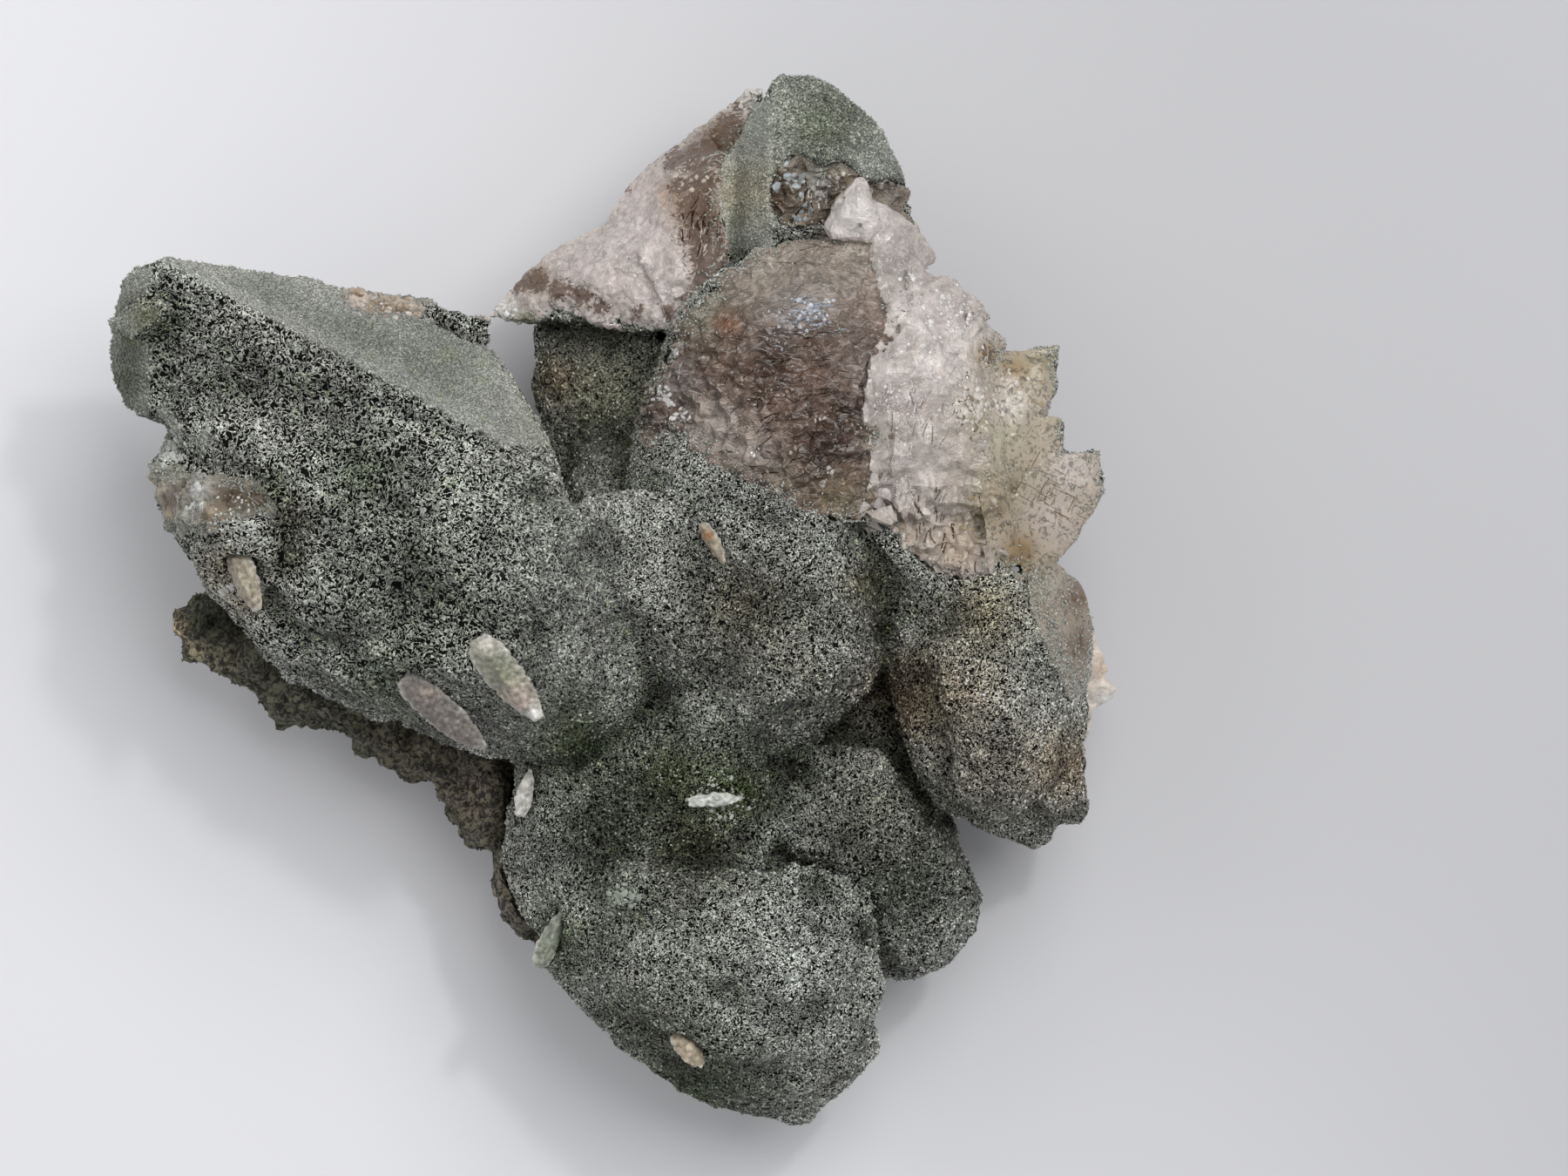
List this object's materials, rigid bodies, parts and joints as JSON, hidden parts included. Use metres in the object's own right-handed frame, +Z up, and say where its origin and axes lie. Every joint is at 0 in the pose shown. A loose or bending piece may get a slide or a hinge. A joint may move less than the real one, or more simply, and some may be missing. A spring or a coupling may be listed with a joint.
{
  "type": "chlorite quartz crystal group",
  "caption": "Hand-sized group of blunt quartz crystals under a thick green-grey chlorite coat, with bare smoky and milky quartz at the broken side, on a flat-cut bed of rock.",
  "frame": {"origin": "The middle of the group seen from above, on the plane that it rests on.", "axes": "+Z is up, away from the flat cut under the bed and through the group's least thickness. +X is the picture's right and +Y its top."},
  "size_m": [0.0994, 0.1035, 0.0448],
  "materials": {
    "chlorite_coat": "dull, rough crust of sub-millimetre green-grey chlorite flakes over quartz",
    "smoky_quartz": "glassy broken smoky quartz with inner veils",
    "milky_quartz": "translucent white broken quartz, stained brown in its cracks",
    "bed_rock": "rough, crumbly brown-grey rock",
    "pale_blade": "satin, greyish cream to mauve"
  },
  "bodies": {
    "root": {"crystal_group": "chlorite_coat", "rock_bed": "bed_rock", "blade_1": "pale_blade", "blade_2": "pale_blade", "blade_3": "pale_blade", "blade_4": "pale_blade", "blade_5": "pale_blade", "blade_6": "pale_blade", "blade_7": "pale_blade", "blade_8": "pale_blade"}
  },
  "joints": []
}
